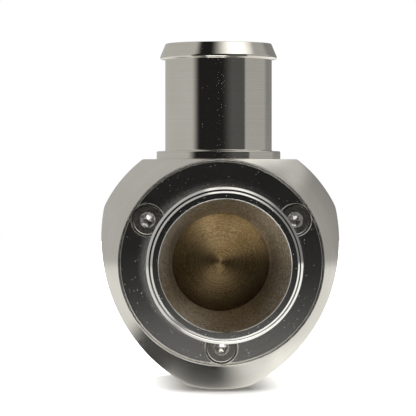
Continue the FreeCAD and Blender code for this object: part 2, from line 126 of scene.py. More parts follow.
# %% [markdown]
# ## Outlines with rounded corners
#
# A lathe part could be made with the Screw modifier and a Bevel modifier on top. Bevels made
# that way depend on angles between faces and often leave slivers where two small edges meet.
# Rounding the corners while the outline is still flat is exact: each corner gets its own
# radius, every arc has the same number of points, and the finished mesh is clean quads.

# %% Rounded outline
ARC_STEPS = 4


def rounded(corners):
    """Points of a closed outline. A corner is (radius, y) or (radius, y, rounding)."""
    spots = [np.array(corner[:2], float) for corner in corners]
    points = []
    for k, corner in enumerate(corners):
        here = spots[k]
        if len(corner) == 2:
            points.append(tuple(here))
            continue
        back = spots[k - 1] - here
        ahead = spots[(k + 1) % len(spots)] - here
        back_length = np.linalg.norm(back)
        ahead_length = np.linalg.norm(ahead)
        back = back / back_length
        ahead = ahead / ahead_length
        half = math.acos(np.clip(back @ ahead, -1, 1)) / 2
        reach = min(corner[2] / math.tan(half), 0.45 * min(back_length, ahead_length))
        radius = reach * math.tan(half)
        middle = here + (back + ahead) / np.linalg.norm(back + ahead) * radius / math.sin(half)
        start = here + back * reach - middle
        end = here + ahead * reach - middle
        for step in range(ARC_STEPS + 1):
            t = step / ARC_STEPS
            turn = math.pi / 2 - half
            arm = (math.sin((1 - t) * 2 * turn) * start + math.sin(t * 2 * turn) * end) / math.sin(2 * turn)
            points.append(tuple(middle + arm))
    return points


print("a rounded square has", len(rounded([(1, 0, 0.1), (2, 0, 0.1), (2, 1, 0.1), (1, 1, 0.1)])), "points")

# %% [markdown]
# ## From outline to mesh
#
# One builder serves every turned or lobed piece. It asks for the outline at each angle, so a
# plain turned part always answers the same, while the housing answers with an outer radius
# that changes with the angle, and a hexagon socket with an inner one that does. Points on the
# axis fall together and are merged, which closes the end with a fan of triangles.

# %% Mesh builder
ROUND_STEPS = 240
HOLE_STEPS = 96
SHARP_ANGLE = math.radians(28)


def mesh_around(name, outline_at, steps=ROUND_STEPS):
    """Mesh in metres of an outline that goes around the valve axis."""
    angles = [2 * math.pi * k / steps for k in range(steps)]
    rings = [outline_at(angle) for angle in angles]
    count = len(rings[0])
    verts = []
    for angle, ring in zip(angles, rings):
        for radius, y in ring:
            verts.append((radius * math.cos(angle) * MM, y * MM, radius * math.sin(angle) * MM + AXIS_HEIGHT))
    faces = []
    for k in range(steps):
        this = k * count
        following = ((k + 1) % steps) * count
        for p in range(count):
            q = (p + 1) % count
            faces.append((this + p, this + q, following + q, following + p))
    mesh = bpy.data.meshes.new(name)
    mesh.from_pydata(verts, [], faces)
    tidy(mesh)
    return mesh


def tidy(mesh):
    """Merges points that fall together, drops flat leftovers and turns all faces outwards."""
    work = bmesh.new()
    work.from_mesh(mesh)
    bmesh.ops.remove_doubles(work, verts=work.verts, dist=1e-7)
    bmesh.ops.dissolve_degenerate(work, edges=work.edges, dist=1e-8)
    bmesh.ops.recalc_face_normals(work, faces=work.faces)
    work.to_mesh(mesh)
    work.free()


def turned(name, corners, steps=ROUND_STEPS):
    """Mesh of an outline that is the same at every angle."""
    outline = rounded(corners)
    return mesh_around(name, lambda angle: outline, steps)


# %% [markdown]
# ## Pieces that ride on the frame
#
# A new piece hides the CAD node that it stands for and moves with that node's body. Smooth
# shading with sharp edges kept, plus normals weighted by face area, makes a flat polished
# face reflect as one mirror even where holes cut it into odd polygons.

# %% Adding a piece
body_of_node = {}
for body_name, members in frame["record"]["behaviour"]["bodies"].items():
    for member in members:
        body_of_node[member] = body_name
slot_of_node = {entry["node"]: entry["material_slot"] for entry in frame["record"]["subparts"]}
pieces = {}


def shade(obj):
    """Smooth shading that keeps sharp edges and trusts the large flat faces."""
    obj.data.polygons.foreach_set("use_smooth", [True] * len(obj.data.polygons))
    obj.data.set_sharp_from_angle(angle=SHARP_ANGLE)
    weigh = obj.modifiers.new("face_area_normals", "WEIGHTED_NORMAL")
    weigh.keep_sharp = True
    weigh.weight = 80


def add_piece(node, mesh):
    """The finer mesh of a CAD node, in that node's place and on its body."""
    piece = bpy.data.objects.new(node + "_piece", mesh)
    bpy.context.scene.collection.objects.link(piece)
    shade(piece)
    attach(piece, body_of_node[node])
    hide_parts(node)
    pieces[node] = piece
    print(piece.name, len(mesh.polygons), "faces")
    return piece


def cut(mesh, cutters):
    """The mesh with the cutters taken away, by an exact boolean."""
    blank = bpy.data.objects.new("blank", mesh)
    bpy.context.scene.collection.objects.link(blank)
    tools = []
    for cutter in cutters:
        tool = bpy.data.objects.new("cutter", cutter)
        bpy.context.scene.collection.objects.link(tool)
        tools.append(tool)
        step = blank.modifiers.new("cut", "BOOLEAN")
        step.operation = "DIFFERENCE"
        step.solver = "EXACT"
        step.object = tool
    view = bpy.context.evaluated_depsgraph_get()
    result = bpy.data.meshes.new_from_object(blank.evaluated_get(view))
    result.name = mesh.name
    for helper in [blank] + tools:
        bpy.data.objects.remove(helper)
    return result


# %% [markdown]
# ## The hose beads
#
# A hose spigot ends in a bead that stops the hose from slipping off. The outlet's bead is a
# plain cone. The inlet's shows four rings in the photo: a dark lip, a bright cone, a dark
# line and a bright line. A straight cone would be one even band, so there is a step in it: a
# narrow ring that faces the camera is dark, and the steep cones before and behind it look
# past the valve into the white backdrop.

# %% Bead outlines
BEAD_LENGTH = 3.8
BEAD_LAND = 0.7
LIP_INSET = 0.1
MOUTH_CHAMFER = 0.2
INLET_LIP_RISE = 0.15
INLET_CONE_RISE = 0.58
INLET_CONE_LENGTH = 0.88
INLET_STEP_RISE = 0.42
INLET_STEP_TO_LAND = 1.13


def coned_bead(tube_r, crest_r, mouth_y, direction):
    """Corners from the mouth lip over the crest to the tube; direction is +1 or -1 along y."""
    crest_end = mouth_y + direction * BEAD_LENGTH
    crest_start = crest_end - direction * BEAD_LAND
    return [
        (tube_r - LIP_INSET, mouth_y, 0.15),
        (crest_r, crest_start, 0.5),
        (crest_r, crest_end, 0.3),
        (tube_r, crest_end, 0.1),
    ]


def stepped_bead(tube_r, crest_r, mouth_y):
    """Corners of a bead of two steep cones with a narrow step between them."""
    crest_end = mouth_y + BEAD_LENGTH
    crest_start = crest_end - BEAD_LAND
    step_y = crest_start - INLET_STEP_TO_LAND
    nose_r = tube_r + INLET_CONE_RISE
    return [
        (tube_r + INLET_LIP_RISE, mouth_y, 0.05),
        (nose_r, mouth_y + INLET_CONE_LENGTH, 0.04),
        (nose_r, step_y),
        (nose_r + INLET_STEP_RISE, step_y, 0.04),
        (crest_r, crest_start, 0.2),
        (crest_r, crest_end, 0.3),
        (tube_r, crest_end, 0.1),
    ]


# %% [markdown]
# ## Inlet flange
#
# On the real valve this is one turning: a disc, a hose spigot and a funnel that leads to the
# valve seat. Three counterbores take the screw heads. They are cut afterwards with a boolean,
# by a cutter that flares at the disc's face, because the photo shows a bright chamfer around
# each head. The seat and seal grooves at the back are part of the outline.

# %% Inlet flange
FLANGE_THICKNESS = 6.0
INLET_TUBE_R = 16.5
INLET_CREST_R = 18.05
INLET_MOUTH_R = 15.15
THROAT_R = 11.7
THROAT_TO_FACE = 4.4
FLANGE_SEAL = (16.35, 17.65, 1.0)
SEAT_SEAL = (12.4, 13.6, 1.2)
SCREW_ANGLES = {"right": 30, "left": 150, "bottom": 270}
FLANGE_SCREW_CIRCLE = 20.2
COUNTERBORE_R = 3.82
COUNTERBORE_DEPTH = 4.2
HEAD_CHAMFER = 0.2
SHANK_HOLE_R = 2.15
FLANGE_CHAMFER = 0.3
OVERCUT = 1.0

flange_r = flange_high.x
seat_y = flange_high.y
face_y = seat_y - FLANGE_THICKNESS
mouth_y = flange_low.y


def moved(mesh, circle_r, angle):
    """A copy of a mesh, moved from the valve axis to a place on a screw circle."""
    turn = math.radians(angle)
    copy = mesh.copy()
    copy.transform(Matrix.Translation(Vector((math.cos(turn), 0, math.sin(turn))) * circle_r * MM))
    return copy


def screw_hole(face, bearing, far_end):
    """Cutter for a counterbored screw hole. face is the outer face, far_end lies past the inner one."""
    outward = math.copysign(1, face - bearing)
    just_outside = face + outward * 0.002
    return turned("screw_hole", [
        (0, just_outside),
        (COUNTERBORE_R + HEAD_CHAMFER, just_outside),
        (COUNTERBORE_R, face - outward * HEAD_CHAMFER),
        (COUNTERBORE_R, bearing),
        (SHANK_HOLE_R, bearing),
        (SHANK_HOLE_R, far_end),
        (0, far_end),
    ], HOLE_STEPS)


def groove(seal, y):
    """Corners of a face groove that is open at y and lies before it; seal is its radii and depth."""
    inner_r, outer_r, depth = seal
    return [(outer_r, y), (outer_r, y - depth), (inner_r, y - depth), (inner_r, y)]


flange_blank = turned("inlet_flange", [
    (INLET_MOUTH_R + MOUTH_CHAMFER, mouth_y, 0.08),
    *stepped_bead(INLET_TUBE_R, INLET_CREST_R, mouth_y),
    (INLET_TUBE_R, face_y, 0.2),
    (flange_r - FLANGE_CHAMFER, face_y, 0.12),
    (flange_r, face_y + FLANGE_CHAMFER, 0.12),
    (flange_r, seat_y, 0.1),
    *groove(FLANGE_SEAL, seat_y),
    *groove(SEAT_SEAL, seat_y),
    (THROAT_R, seat_y, 0.1),
    (THROAT_R, face_y - THROAT_TO_FACE, 0.5),
    (INLET_MOUTH_R, mouth_y + MOUTH_CHAMFER, 0.1),
])
bearing_y = face_y + COUNTERBORE_DEPTH
flange_hole = screw_hole(face_y, bearing_y, seat_y + OVERCUT)
flange_mesh = cut(flange_blank, [moved(flange_hole, FLANGE_SCREW_CIRCLE, a) for a in SCREW_ANGLES.values()])
add_piece("inlet_flange", flange_mesh)

# %% [markdown]
# ## The lobed housing
#
# Seen from the inlet the housing is a turned bar with flats and bows milled along it: two
# upper lobes that keep the bar's round, two long bowed sides, a flat on top for the outlet
# and a narrow flat at the bottom. It could be modelled as a curve and extruded. Asking for
# the distance from the axis to the outline at each angle is better here, because the turned
# front then meets the milled sides without any boolean, and the edge between them can be
# rounded like every other corner. A soft minimum over the five limits rounds the long edges.

# %% Outline radius
SIDE_ARC_R = 40.7
SIDE_CORNER_ANGLE = math.radians(25.4)
BOTTOM_FLAT_WIDTH = 11.2
CORNER_SOFTNESS = 0.06
NEARLY_LEVEL = 0.05
top_flat = body_high.z
bottom_flat = -body_low.z
lobe_r = bottom_flat

side_corner = Vector((math.cos(SIDE_CORNER_ANGLE), math.sin(SIDE_CORNER_ANGLE))) * lobe_r
side_foot = Vector((BOTTOM_FLAT_WIDTH / 2, -bottom_flat))
side_chord = side_corner - side_foot
inward = Vector((-side_chord.y, side_chord.x)).normalized()
side_centre = (side_corner + side_foot) / 2 + inward * math.sqrt(SIDE_ARC_R**2 - side_chord.length_squared / 4)


def side_distance(angle, side):
    """Distance from the axis to the bowed side on the right (1) or on the left (-1)."""
    along = math.cos(angle) * side * side_centre.x + math.sin(angle) * side_centre.y
    return along + math.sqrt(along * along - side_centre.length_squared + SIDE_ARC_R**2)


def outline_r(angle):
    """Distance from the valve axis to the housing's outline."""
    limits = [lobe_r, side_distance(angle, 1), side_distance(angle, -1)]
    rise = math.sin(angle)
    if rise > NEARLY_LEVEL:
        limits.append(top_flat / rise)
    if rise < -NEARLY_LEVEL:
        limits.append(bottom_flat / -rise)
    least = min(limits)
    total = sum(math.exp((least - limit) / CORNER_SOFTNESS) for limit in limits)
    return least - CORNER_SOFTNESS * math.log(total)


print("half width %.2f mm" % max(outline_r(math.radians(a)) * math.cos(math.radians(a)) for a in range(0, 40)))

# %% [markdown]
# ## Housing
#
# The front is turned to a slightly crowned taper, so light rolls off towards the edge as it
# does in the photo. The flat ring around the flange recess is less than a millimetre wide and
# shows as the thin bright circle. The bores for piston and sleeve belong to the outline, the
# outlet port and the screw holes are booleans.

# %% Housing
RIM_LAND = 0.25
TAPER_LENGTH = 9.5
TAPER_BULGE = 0.15
TAPER_STEPS = 10
MAIN_BORE_R = 16.0
SLEEVE_RECESS_R = 18.1
SLEEVE_RECESS_DEPTH = 2.0
OUTLET_BORE_R = 11.0
OUTLET_THREAD_R = 12.4
OUTLET_THREAD_LENGTH = 5.0
CAP_SCREW_CIRCLE = 24.4
SCREW_R = 2.0
FRONT_HOLE_END = -4.3
REAR_HOLE_END = 23.5
SLIP_CLEARANCE = 0.1
BODY_STEPS = 720

recess_r = flange_r + SLIP_CLEARANCE
rim_r = recess_r + RIM_LAND
body_rear = body_high.y


def taper_y(radius):
    """Where the crowned taper lies at a radius: a chord with a parabola's crown on it."""
    t = (radius - rim_r) / (lobe_r - rim_r)
    chord = math.hypot(lobe_r - rim_r, TAPER_LENGTH)
    crown = 4 * TAPER_BULGE * t * (1 - t) * chord / (lobe_r - rim_r)
    return face_y + TAPER_LENGTH * t - crown


def body_outline(angle):
    """Outline of the housing at an angle, from the rim over taper and side to the bores."""
    edge = outline_r(angle)
    corners = [(recess_r, face_y, 0.05), (rim_r, face_y, 0.1)]
    for k in range(1, TAPER_STEPS):
        radius = rim_r + (edge - rim_r) * k / TAPER_STEPS
        corners.append((radius, taper_y(radius)))
    corners += [
        (edge, taper_y(edge), 0.35),
        (edge, body_rear, 0.2),
        (SLEEVE_RECESS_R, body_rear, 0.1),
        (SLEEVE_RECESS_R, body_rear - SLEEVE_RECESS_DEPTH),
        (MAIN_BORE_R, body_rear - SLEEVE_RECESS_DEPTH, 0.1),
        (MAIN_BORE_R, seat_y, 0.1),
        (recess_r, seat_y),
    ]
    return rounded(corners)


def upright(mesh):
    """Stands a mesh that was made around the valve axis on the outlet's axis instead."""
    lift = Matrix.Translation((0, 0, AXIS_HEIGHT))
    mesh.transform(lift @ Matrix.Rotation(math.radians(90), 4, "X") @ lift.inverted())
    return mesh


outlet_cutter = upright(turned("outlet_port", [
    (0, 0),
    (OUTLET_BORE_R, 0),
    (OUTLET_BORE_R, top_flat - OUTLET_THREAD_LENGTH),
    (OUTLET_THREAD_R, top_flat - OUTLET_THREAD_LENGTH),
    (OUTLET_THREAD_R, top_flat + OVERCUT),
    (0, top_flat + OVERCUT),
]))


def thread_hole(start, end):
    """Cutter for a plain hole of the screws' radius."""
    return turned("thread_hole", [(0, start), (SCREW_R, start), (SCREW_R, end), (0, end)], HOLE_STEPS)


front_thread = thread_hole(seat_y - OVERCUT, FRONT_HOLE_END)
rear_thread = thread_hole(REAR_HOLE_END, body_rear + OVERCUT)
cutters = [outlet_cutter]
for angle in SCREW_ANGLES.values():
    cutters.append(moved(front_thread, FLANGE_SCREW_CIRCLE, angle))
    cutters.append(moved(rear_thread, CAP_SCREW_CIRCLE, angle))
add_piece("body", cut(mesh_around("body", body_outline, BODY_STEPS), cutters))

# %% [markdown]
# ## Rear cap
#
# The cap carries the housing's outline to the rear and ends it with a chamfer that only the
# lobes reach, because it was turned and the sides are closer to the axis. Its inside has the
# spring boss, the bump stop's seat and a seal groove.

# %% Rear cap
CAP_CHAMFER = 2.0
SIDE_EDGE = 0.35
BOSS_R = 8.4
PASSAGE_R = 2.5
NIPPLE_THREAD_R = 4.0
NIPPLE_THREAD_LENGTH = 6.0
THREAD_CHAMFER = 0.3
BUMP_SEAT = (11.6, 13.7, -0.8)
CAP_SEAL = (19.0, 20.7, -1.3)
cap_rear = cap_high.y


def cap_outline(angle):
    """Outline of the cap at an angle, from its boss around the outside to the nipple's thread."""
    edge = outline_r(angle)
    chamfer_r = min(lobe_r - CAP_CHAMFER, edge - SIDE_EDGE)
    chamfer_y = cap_rear - (edge - chamfer_r)
    thread_y = cap_rear - NIPPLE_THREAD_LENGTH
    return rounded([
        (PASSAGE_R, cap_low.y, 0.1),
        (BOSS_R, cap_low.y, 0.4),
        (BOSS_R, body_rear),
        *reversed(groove(BUMP_SEAT, body_rear)),
        *reversed(groove(CAP_SEAL, body_rear)),
        (edge, body_rear, 0.2),
        (edge, chamfer_y, 0.15),
        (chamfer_r, cap_rear, 0.15),
        (NIPPLE_THREAD_R + THREAD_CHAMFER, cap_rear, 0.05),
        (NIPPLE_THREAD_R, cap_rear - THREAD_CHAMFER, 0.05),
        (NIPPLE_THREAD_R, thread_y),
        (PASSAGE_R, thread_y),
    ])


cap_bearing = cap_rear - COUNTERBORE_DEPTH
cap_hole = screw_hole(cap_rear, cap_bearing, body_rear - OVERCUT)
cap_mesh = cut(
    mesh_around("rear_cap", cap_outline, BODY_STEPS),
    [moved(cap_hole, CAP_SCREW_CIRCLE, angle) for angle in SCREW_ANGLES.values()],
)
add_piece("rear_cap", cap_mesh)

# %% [markdown]
# ## Outlet spigot
#
# A turned hose spigot with a collar. It screws into the top flat, so its foot is a plain
# cylinder below the collar. The small step between tube and collar is what makes it read as a
# separate piece in the photo.

# %% Outlet spigot
OUTLET_TUBE_R = 13.0
OUTLET_CREST_R = 14.2
COLLAR_THICKNESS = 2.0
OUTLET_SEAL = (13.0, 14.4, -1.0)
outlet_mouth = spigot_high.z
collar_r = spigot_high.x
collar_top = top_flat + COLLAR_THICKNESS
outlet_mesh = turned("outlet_spigot", [
    (OUTLET_BORE_R + MOUTH_CHAMFER, outlet_mouth, 0.08),
    *coned_bead(OUTLET_TUBE_R, OUTLET_CREST_R, outlet_mouth, -1),
    (OUTLET_TUBE_R, collar_top, 0.4),
    (collar_r, collar_top, 0.3),
    (collar_r, top_flat, 0.15),
    *groove(OUTLET_SEAL, top_flat),
    (OUTLET_THREAD_R, top_flat),
    (OUTLET_THREAD_R, spigot_low.z, 0.3),
    (OUTLET_BORE_R, spigot_low.z, 0.2),
    (OUTLET_BORE_R, outlet_mouth - MOUTH_CHAMFER, 0.1),
])
add_piece("outlet_spigot", upright(outlet_mesh))

# %% [markdown]
# ## Piston
#
# A brass cup. Its nose was faced on the lathe with a shallow dish, and it is the only warm
# colour in the photo. The skirt has three grooves for its rings.

# %% Piston
DISH_R = 11.0
DISH_DEPTH = 0.5
DISH_STEPS = 12
CROWN = 3.5
PISTON_WALL = 2.66
RING_GROOVES = [(20.6, 3.0, 0.8), (25.4, 2.2, 1.3), (29.4, 3.0, 0.8)]
piston_r = piston_high.x
nose_y = piston_low.y
piston_corners = []
for k in range(DISH_STEPS):
    radius = DISH_R * k / DISH_STEPS
    piston_corners.append((radius, nose_y + DISH_DEPTH * (1 - (radius / DISH_R) ** 2)))
piston_corners += [(DISH_R, nose_y), (piston_r - 0.35, nose_y, 0.1), (piston_r, nose_y + 0.35, 0.1)]
for start, width, depth in RING_GROOVES:
    near = nose_y + start
    piston_corners += [
        (piston_r, near), (piston_r - depth, near), (piston_r - depth, near + width), (piston_r, near + width)
    ]
piston_corners += [
    (piston_r, piston_high.y, 0.3),
    (piston_r - PISTON_WALL, piston_high.y, 0.2),
    (piston_r - PISTON_WALL, nose_y + CROWN, 1.0),
    (0, nose_y + CROWN),
]
add_piece("piston", turned("piston", piston_corners))

# %% [markdown]
# ## Guide sleeve
#
# The liner that the piston runs in. Only its front edge can be seen, down the outlet, so one
# turned outline with its seal groove is all it needs.

# %% Guide sleeve
RUNNING_CLEARANCE = 0.04
CLOSE_CLEARANCE = 0.03
SLEEVE_SEAL_TO_REAR = 6.0
SLEEVE_SEAL_WIDTH = 1.4
SLEEVE_SEAL_DEPTH = 0.8
sleeve_bore = piston_r + RUNNING_CLEARANCE
shoulder_r = sleeve_high.x
shoulder_y = sleeve_high.y - SLEEVE_RECESS_DEPTH
sleeve_r = MAIN_BORE_R - CLOSE_CLEARANCE
seal_start = sleeve_high.y - SLEEVE_SEAL_TO_REAR
seal_end = seal_start + SLEEVE_SEAL_WIDTH
add_piece("guide_sleeve", turned("guide_sleeve", [
    (sleeve_bore, sleeve_low.y, 0.4),
    (sleeve_r, sleeve_low.y, 0.4),
    (sleeve_r, seal_start),
    (sleeve_r - SLEEVE_SEAL_DEPTH, seal_start),
    (sleeve_r - SLEEVE_SEAL_DEPTH, seal_end),
    (sleeve_r, seal_end),
    (sleeve_r, shoulder_y),
    (shoulder_r, shoulder_y, 0.1),
    (shoulder_r, sleeve_high.y, 0.1),
    (sleeve_bore, sleeve_high.y, 0.1),
]))

# %% [markdown]
# ## Socket head screws
#
# A hexagon could be cut with a boolean. The builder makes it without one: the socket's radius
# is a function of the angle, and the number of steps is a multiple of six, so each corner of
# the hexagon falls on a step. The mouth of the socket is a cone, as on a real screw, and the
# head's rim is rounded. Two extra corners close to the rims keep the rest of the head's face
# flat, also in its shading.

# %% Screws
HEAD_R = 3.5
HEAD_HEIGHT = 4.0
SOCKET_FLATS = 3.0
SOCKET_DEPTH = 2.2
SOCKET_MOUTH_R = 1.85
DRILL_POINT = 0.35
HEAD_EDGE = 0.24
HEAD_FACE_INSET = 0.05
FLANGE_SCREW_LENGTH = 10.0
CAP_SCREW_LENGTH = 12.0
SCREW_STEPS = 120
SOCKET_TURNS = {"right": 12, "left": 24, "bottom": 0}


def hexagon_r(angle, across_flats):
    """Distance from the middle of a hexagon to its side, with a corner at 90 degrees."""
    from_flat = (angle - math.radians(60)) % math.radians(60) - math.radians(30)
    return across_flats / 2 / math.cos(from_flat)


def screw_mesh(name, length):
    """Screw with its bearing face at y = 0 and its tip towards +y."""
    def outline(angle):
        socket_r = hexagon_r(angle, SOCKET_FLATS)
        return rounded([
            (0, -HEAD_HEIGHT + SOCKET_DEPTH + DRILL_POINT),
            (socket_r * 0.96, -HEAD_HEIGHT + SOCKET_DEPTH),
            (socket_r, -HEAD_HEIGHT + SOCKET_DEPTH - 0.05),
            (socket_r, -HEAD_HEIGHT + SOCKET_MOUTH_R - socket_r + 0.02),
            (SOCKET_MOUTH_R, -HEAD_HEIGHT, 0.04),
            (SOCKET_MOUTH_R + HEAD_FACE_INSET, -HEAD_HEIGHT),
            (HEAD_R - HEAD_EDGE - HEAD_FACE_INSET, -HEAD_HEIGHT),
            (HEAD_R, -HEAD_HEIGHT, HEAD_EDGE),
            (HEAD_R, 0, 0.08),
            (SCREW_R - CLOSE_CLEARANCE, 0),
            (SCREW_R - CLOSE_CLEARANCE, length, 0.4),
            (0, length),
        ])
    return mesh_around(name, outline, SCREW_STEPS)


def place_screw(mesh, turn, bearing, circle_r, angle, facing_rear):
    """Turns a screw about its own axis, points it, and moves it to its hole."""
    lift = Matrix.Translation((0, 0, AXIS_HEIGHT))
    spin = Matrix.Rotation(math.radians(turn), 4, "Y")
    point = Matrix.Rotation(math.pi if facing_rear else 0, 4, "Z")
    mesh.transform(lift @ point @ spin @ lift.inverted())
    mesh.transform(Matrix.Translation((0, bearing * MM, 0)))
    return moved(mesh, circle_r, angle)


for side, angle in SCREW_ANGLES.items():
    front = screw_mesh("flange_screw_" + side, FLANGE_SCREW_LENGTH)
    placed = place_screw(front, SOCKET_TURNS[side], bearing_y, FLANGE_SCREW_CIRCLE, angle, False)
    add_piece("flange_screw_" + side, placed)
    rear = screw_mesh("cap_screw_" + side, CAP_SCREW_LENGTH)
    placed = place_screw(rear, SOCKET_TURNS[side], cap_bearing, CAP_SCREW_CIRCLE, angle, True)
    add_piece("cap_screw_" + side, placed)

# %% [markdown]
# ## Vacuum nipple and its washer
#
# The hexagon's outer radius follows the same function as the sockets, cut down to a circle at
# its two ends by a chamfer, which gives the curved edges of a real nut. The barbs are steep
# towards the hexagon, so the hose slides on but not off.

# %% Nipple
NIPPLE_FLATS = 10.0
HEX_HEIGHT = 5.0
TAIL_R = 2.2
BARB_R = 2.9
BARB_LENGTH = 3.4
BARB_COUNT = 3
BARB_LAND = 0.7
NECK = 3.0
BORE_R = 1.3
hex_y = washer_high.y


def nipple_outline(angle):
    """Outline of the nipple at an angle."""
    hex_r = hexagon_r(angle, NIPPLE_FLATS)
    drop = 0.5 * (hex_r - NIPPLE_FLATS / 2) + 0.05
    corners = [
        (NIPPLE_THREAD_R - CLOSE_CLEARANCE, nipple_low.y, 0.3),
        (NIPPLE_THREAD_R - CLOSE_CLEARANCE, hex_y),
        (NIPPLE_FLATS / 2 - 0.05, hex_y),
        (hex_r, hex_y + drop),
        (hex_r, hex_y + HEX_HEIGHT - drop),
        (NIPPLE_FLATS / 2 - 0.05, hex_y + HEX_HEIGHT),
        (TAIL_R, hex_y + HEX_HEIGHT, 0.2),
    ]
    barb = hex_y + HEX_HEIGHT + NECK
    for _ in range(BARB_COUNT):
        corners += [(TAIL_R, barb, 0.1), (BARB_R, barb, 0.08), (BARB_R, barb + BARB_LAND, 0.2)]
        barb += BARB_LENGTH
    corners += [(TAIL_R, barb, 0.15), (BORE_R, barb, 0.15), (BORE_R, nipple_low.y, 0.1)]
    return rounded(corners)


add_piece("vacuum_nipple", mesh_around("vacuum_nipple", nipple_outline))
add_piece("nipple_washer", turned("nipple_washer", [
    (NIPPLE_THREAD_R + SLIP_CLEARANCE, washer_low.y, 0.15),
    (washer_high.x, washer_low.y, 0.3),
    (washer_high.x, washer_high.y, 0.3),
    (NIPPLE_THREAD_R + SLIP_CLEARANCE, washer_high.y, 0.15),
]))

# %% [markdown]
# ## Return spring
#
# A wire that goes around the axis. The first and last turn lie almost flat, as closed spring
# ends do, and the pitch opens between them. A spring gets shorter when the piston opens.

# %% Return spring
WIRE_R = 0.9
SPRING_TURNS = 7
CLOSED_TURN_PITCH = 2 * WIRE_R + 0.1
STEPS_PER_TURN = 36
WIRE_STEPS = 12
spring_r = spring_high.x - WIRE_R
spring_start = spring_low.y + WIRE_R
spring_end = spring_high.y - WIRE_R


def spring_y(turns):
    """Place along the axis after a number of turns: closed ends with an even pitch between."""
    free_turns = SPRING_TURNS - 2
    pitch = (spring_end - spring_start - 2 * CLOSED_TURN_PITCH) / free_turns
    into_free = min(max(turns - 1, 0), free_turns)
    in_closed = min(turns, 1) + max(turns - 1 - free_turns, 0)
    return spring_start + CLOSED_TURN_PITCH * in_closed + pitch * into_free


def spring_mesh():
    """Wire swept along the coil, with a flat cap at each end."""
    work = bmesh.new()
    rings = []
    total = SPRING_TURNS * STEPS_PER_TURN
    for k in range(total + 1):
        turn = 2 * math.pi * k / STEPS_PER_TURN
        outward = Vector((math.cos(turn), 0, math.sin(turn)))
        centre = outward * spring_r + Vector((0, spring_y(k / STEPS_PER_TURN), 0))
        ring = []
        for w in range(WIRE_STEPS):
            lean = 2 * math.pi * w / WIRE_STEPS
            spot = centre + outward * WIRE_R * math.cos(lean) + Vector((0, WIRE_R * math.sin(lean), 0))
            ring.append(work.verts.new(spot * MM + Vector((0, 0, AXIS_HEIGHT))))
        rings.append(ring)
    for this, following in zip(rings, rings[1:]):
        for w in range(WIRE_STEPS):
            x = (w + 1) % WIRE_STEPS
            work.faces.new((this[w], this[x], following[x], following[w]))
    work.faces.new(rings[0])
    work.faces.new(rings[-1])
    bmesh.ops.recalc_face_normals(work, faces=work.faces)
    mesh = bpy.data.meshes.new("return_spring")
    work.to_mesh(mesh)
    work.free()
    return mesh


spring = add_piece("return_spring", spring_mesh())
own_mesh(spring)

# %% [markdown]
# ## Colours
#
# Colours are picked as sRGB hex values, because that is how they are read off a picture, but
# shaders calculate with linear light. One function turns the one into the other.

# %% Colour function


def linear(hex_colour):
    """An sRGB colour like #aabbcc as linear red, green, blue and alpha."""
    channels = []
    for k in (1, 3, 5):
        value = int(hex_colour[k:k + 2], 16) / 255
        channels.append(value / 12.92 if value <= 0.04045 else ((value + 0.055) / 1.055) ** 2.4)
    return (*channels, 1.0)


print("mid grey is", round(linear("#808080")[0], 3), "in linear light")

# %% [markdown]
# ## Building a material
#
# Every material is a small network of nodes. One function adds a node, sets its properties
# and fills its inputs, either with a plain value or with another node's output. Two more are
# built on it: the start of a material, and a window that is 1 inside a range and fades out
# around it. Both the finishes and the painted room need such windows.

# %% Node helpers


def add_node(tree, kind, inputs=None, **settings):
    """Adds a node with its settings and links. An input is a value, a node or a node's output."""
    node = tree.nodes.new(kind)
    for key, value in settings.items():
        setattr(node, key, value)
    for key, value in (inputs or {}).items():
        if isinstance(value, bpy.types.Node):
            value = value.outputs[0]
        if isinstance(value, bpy.types.NodeSocket):
            tree.links.new(value, node.inputs[key])
        else:
            node.inputs[key].default_value = value
    return node


def start_material(name):
    """A new material, its node tree and its output node."""
    material = bpy.data.materials.new(name)
    material.use_nodes = True
    material.node_tree.nodes.clear()
    tree = material.node_tree
    return material, tree, add_node(tree, "ShaderNodeOutputMaterial")


def window(tree, value, start, end, soft):
    """1 between start and end, with soft edges around both."""
    half = soft / 2
    rise = add_node(
        tree, "ShaderNodeMapRange",
        {"Value": value, "From Min": start - half, "From Max": start + half}, interpolation_type="SMOOTHSTEP",
    )
    fall = add_node(
        tree, "ShaderNodeMapRange",
        {"Value": value, "From Min": end + half, "From Max": end - half}, interpolation_type="SMOOTHSTEP",
    )
    return add_node(tree, "ShaderNodeMath", {0: rise, 1: fall}, operation="MULTIPLY")


# %% [markdown]
# ## Turned metal
#
# A lathe leaves fine rings around the axis of the part. They do two things. Each ring is a
# tiny groove, too fine to see, that spreads a reflection across the rings and hardly along
# them: that is anisotropy, and its tangent has to run around the axis. The coarser ones vary
# in depth and show as faint lines. So the network works out the distance from the axis and
# the place along it, and looks up noise in just those two numbers, so the pattern goes around
# the part unbroken. Zones at some distance from the axis can be duller than the rest, such as
# a corner that the polishing wheel doesn't reach. Real dust is finer than 0.1 mm and would be
# lost between the pixels, so the specks of dust are drawn about twice as large.

# %% Turned metal material
EDGE_WEAR_START = 0.53
EDGE_WEAR_END = 0.62
SPECK_HEIGHT = 0.004
SPECK_SHARE = 0.22
SPECK_REACH = 0.17
SPECK_CORE = 0.09
SMUDGE_SIZE = 14


